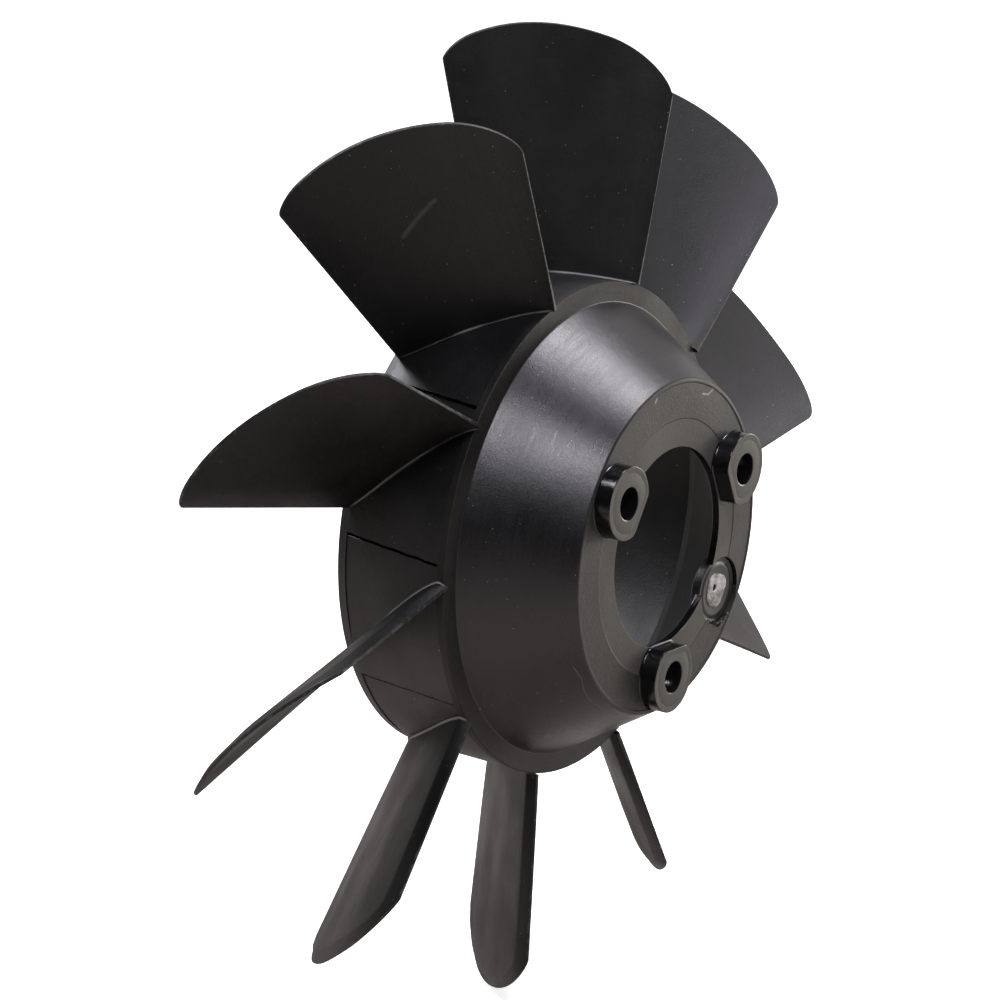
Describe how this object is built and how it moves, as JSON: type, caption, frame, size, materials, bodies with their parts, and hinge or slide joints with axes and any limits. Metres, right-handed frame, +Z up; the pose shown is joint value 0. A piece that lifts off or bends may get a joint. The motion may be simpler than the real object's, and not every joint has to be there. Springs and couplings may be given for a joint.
{
  "type": "blower motor wheel",
  "caption": "Axial blower wheel with pitched blades round a cupped hub, which bolts to a motor through bosses on its front plate.",
  "frame": {"origin": "on the spin axis, half way along the wheel's overall depth", "axes": "+Y along the spin axis from the mounting face to the open back, +Z up, so the mounting face looks to -Y"},
  "size_m": [0.258, 0.0712, 0.261],
  "materials": {
    "drum_plastic": "satin moulded black, a little scuffed",
    "cone_plastic": "satin black with fine circular tool marks",
    "plate_plastic": "matte warm dark grey",
    "boss_plastic": "glossy black sides with matte faces",
    "blade_plastic": "matte black with dust specks",
    "gate_plastic": "pale sheared plastic"
  },
  "bodies": {
    "root": {"hub_drum": "drum_plastic", "rear_lip": "drum_plastic", "shoulder_ring": "drum_plastic", "cone_shell": "cone_plastic", "mounting_plate": "plate_plastic", "boss_1": "boss_plastic", "boss_2": "boss_plastic", "boss_3": "boss_plastic", "gate_pad": "boss_plastic", "gate_stub": "gate_plastic", "blade_01": "blade_plastic", "blade_02": "blade_plastic", "blade_03": "blade_plastic", "blade_04": "blade_plastic", "blade_05": "blade_plastic", "blade_06": "blade_plastic", "blade_07": "blade_plastic", "blade_08": "blade_plastic", "blade_09": "blade_plastic", "blade_10": "blade_plastic"}
  },
  "joints": []
}
